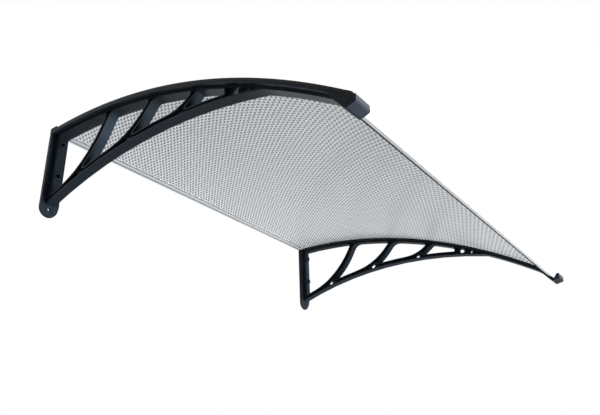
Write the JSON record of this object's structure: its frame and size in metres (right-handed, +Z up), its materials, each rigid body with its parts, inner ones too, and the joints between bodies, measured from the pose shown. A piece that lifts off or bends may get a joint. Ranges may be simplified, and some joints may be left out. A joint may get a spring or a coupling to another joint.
{
  "type": "door awning",
  "caption": "Curved twin-wall canopy sheet over a door, held by two black lattice wall brackets, with aluminium rails along its wall and front edges.",
  "frame": {"origin": "on the back of the wall rail, at mid width and level with the top of the canopy's arc", "axes": "+X along the canopy's width, +Y into the wall, +Z up; the canopy runs out towards -Y"},
  "size_m": [1.2, 0.9392, 0.3343],
  "materials": {
    "black_nylon": "moulded satin",
    "clear_polycarbonate": "extruded gloss",
    "anodised_aluminium": "satin anodised",
    "black_cover": "moulded satin",
    "black_cap": "moulded satin",
    "black_steel": "black zinc"
  },
  "bodies": {
    "root": {"left_bracket": "black_nylon", "right_bracket": "black_nylon", "canopy_sheet": "clear_polycarbonate", "front_rail": "anodised_aluminium", "rear_rail": "anodised_aluminium", "left_cover_strip": "black_cover", "right_cover_strip": "black_cover", "left_front_rail_cap": "black_cap", "right_front_rail_cap": "black_cap", "left_rear_rail_cap": "black_cap", "right_rear_rail_cap": "black_cap", "left_rail_screw": "black_steel", "right_rail_screw": "black_steel", "left_cover_screw_1": "black_steel", "left_cover_screw_2": "black_steel", "left_cover_screw_3": "black_steel", "left_cover_screw_4": "black_steel", "right_cover_screw_1": "black_steel", "right_cover_screw_2": "black_steel", "right_cover_screw_3": "black_steel", "right_cover_screw_4": "black_steel"}
  },
  "joints": []
}
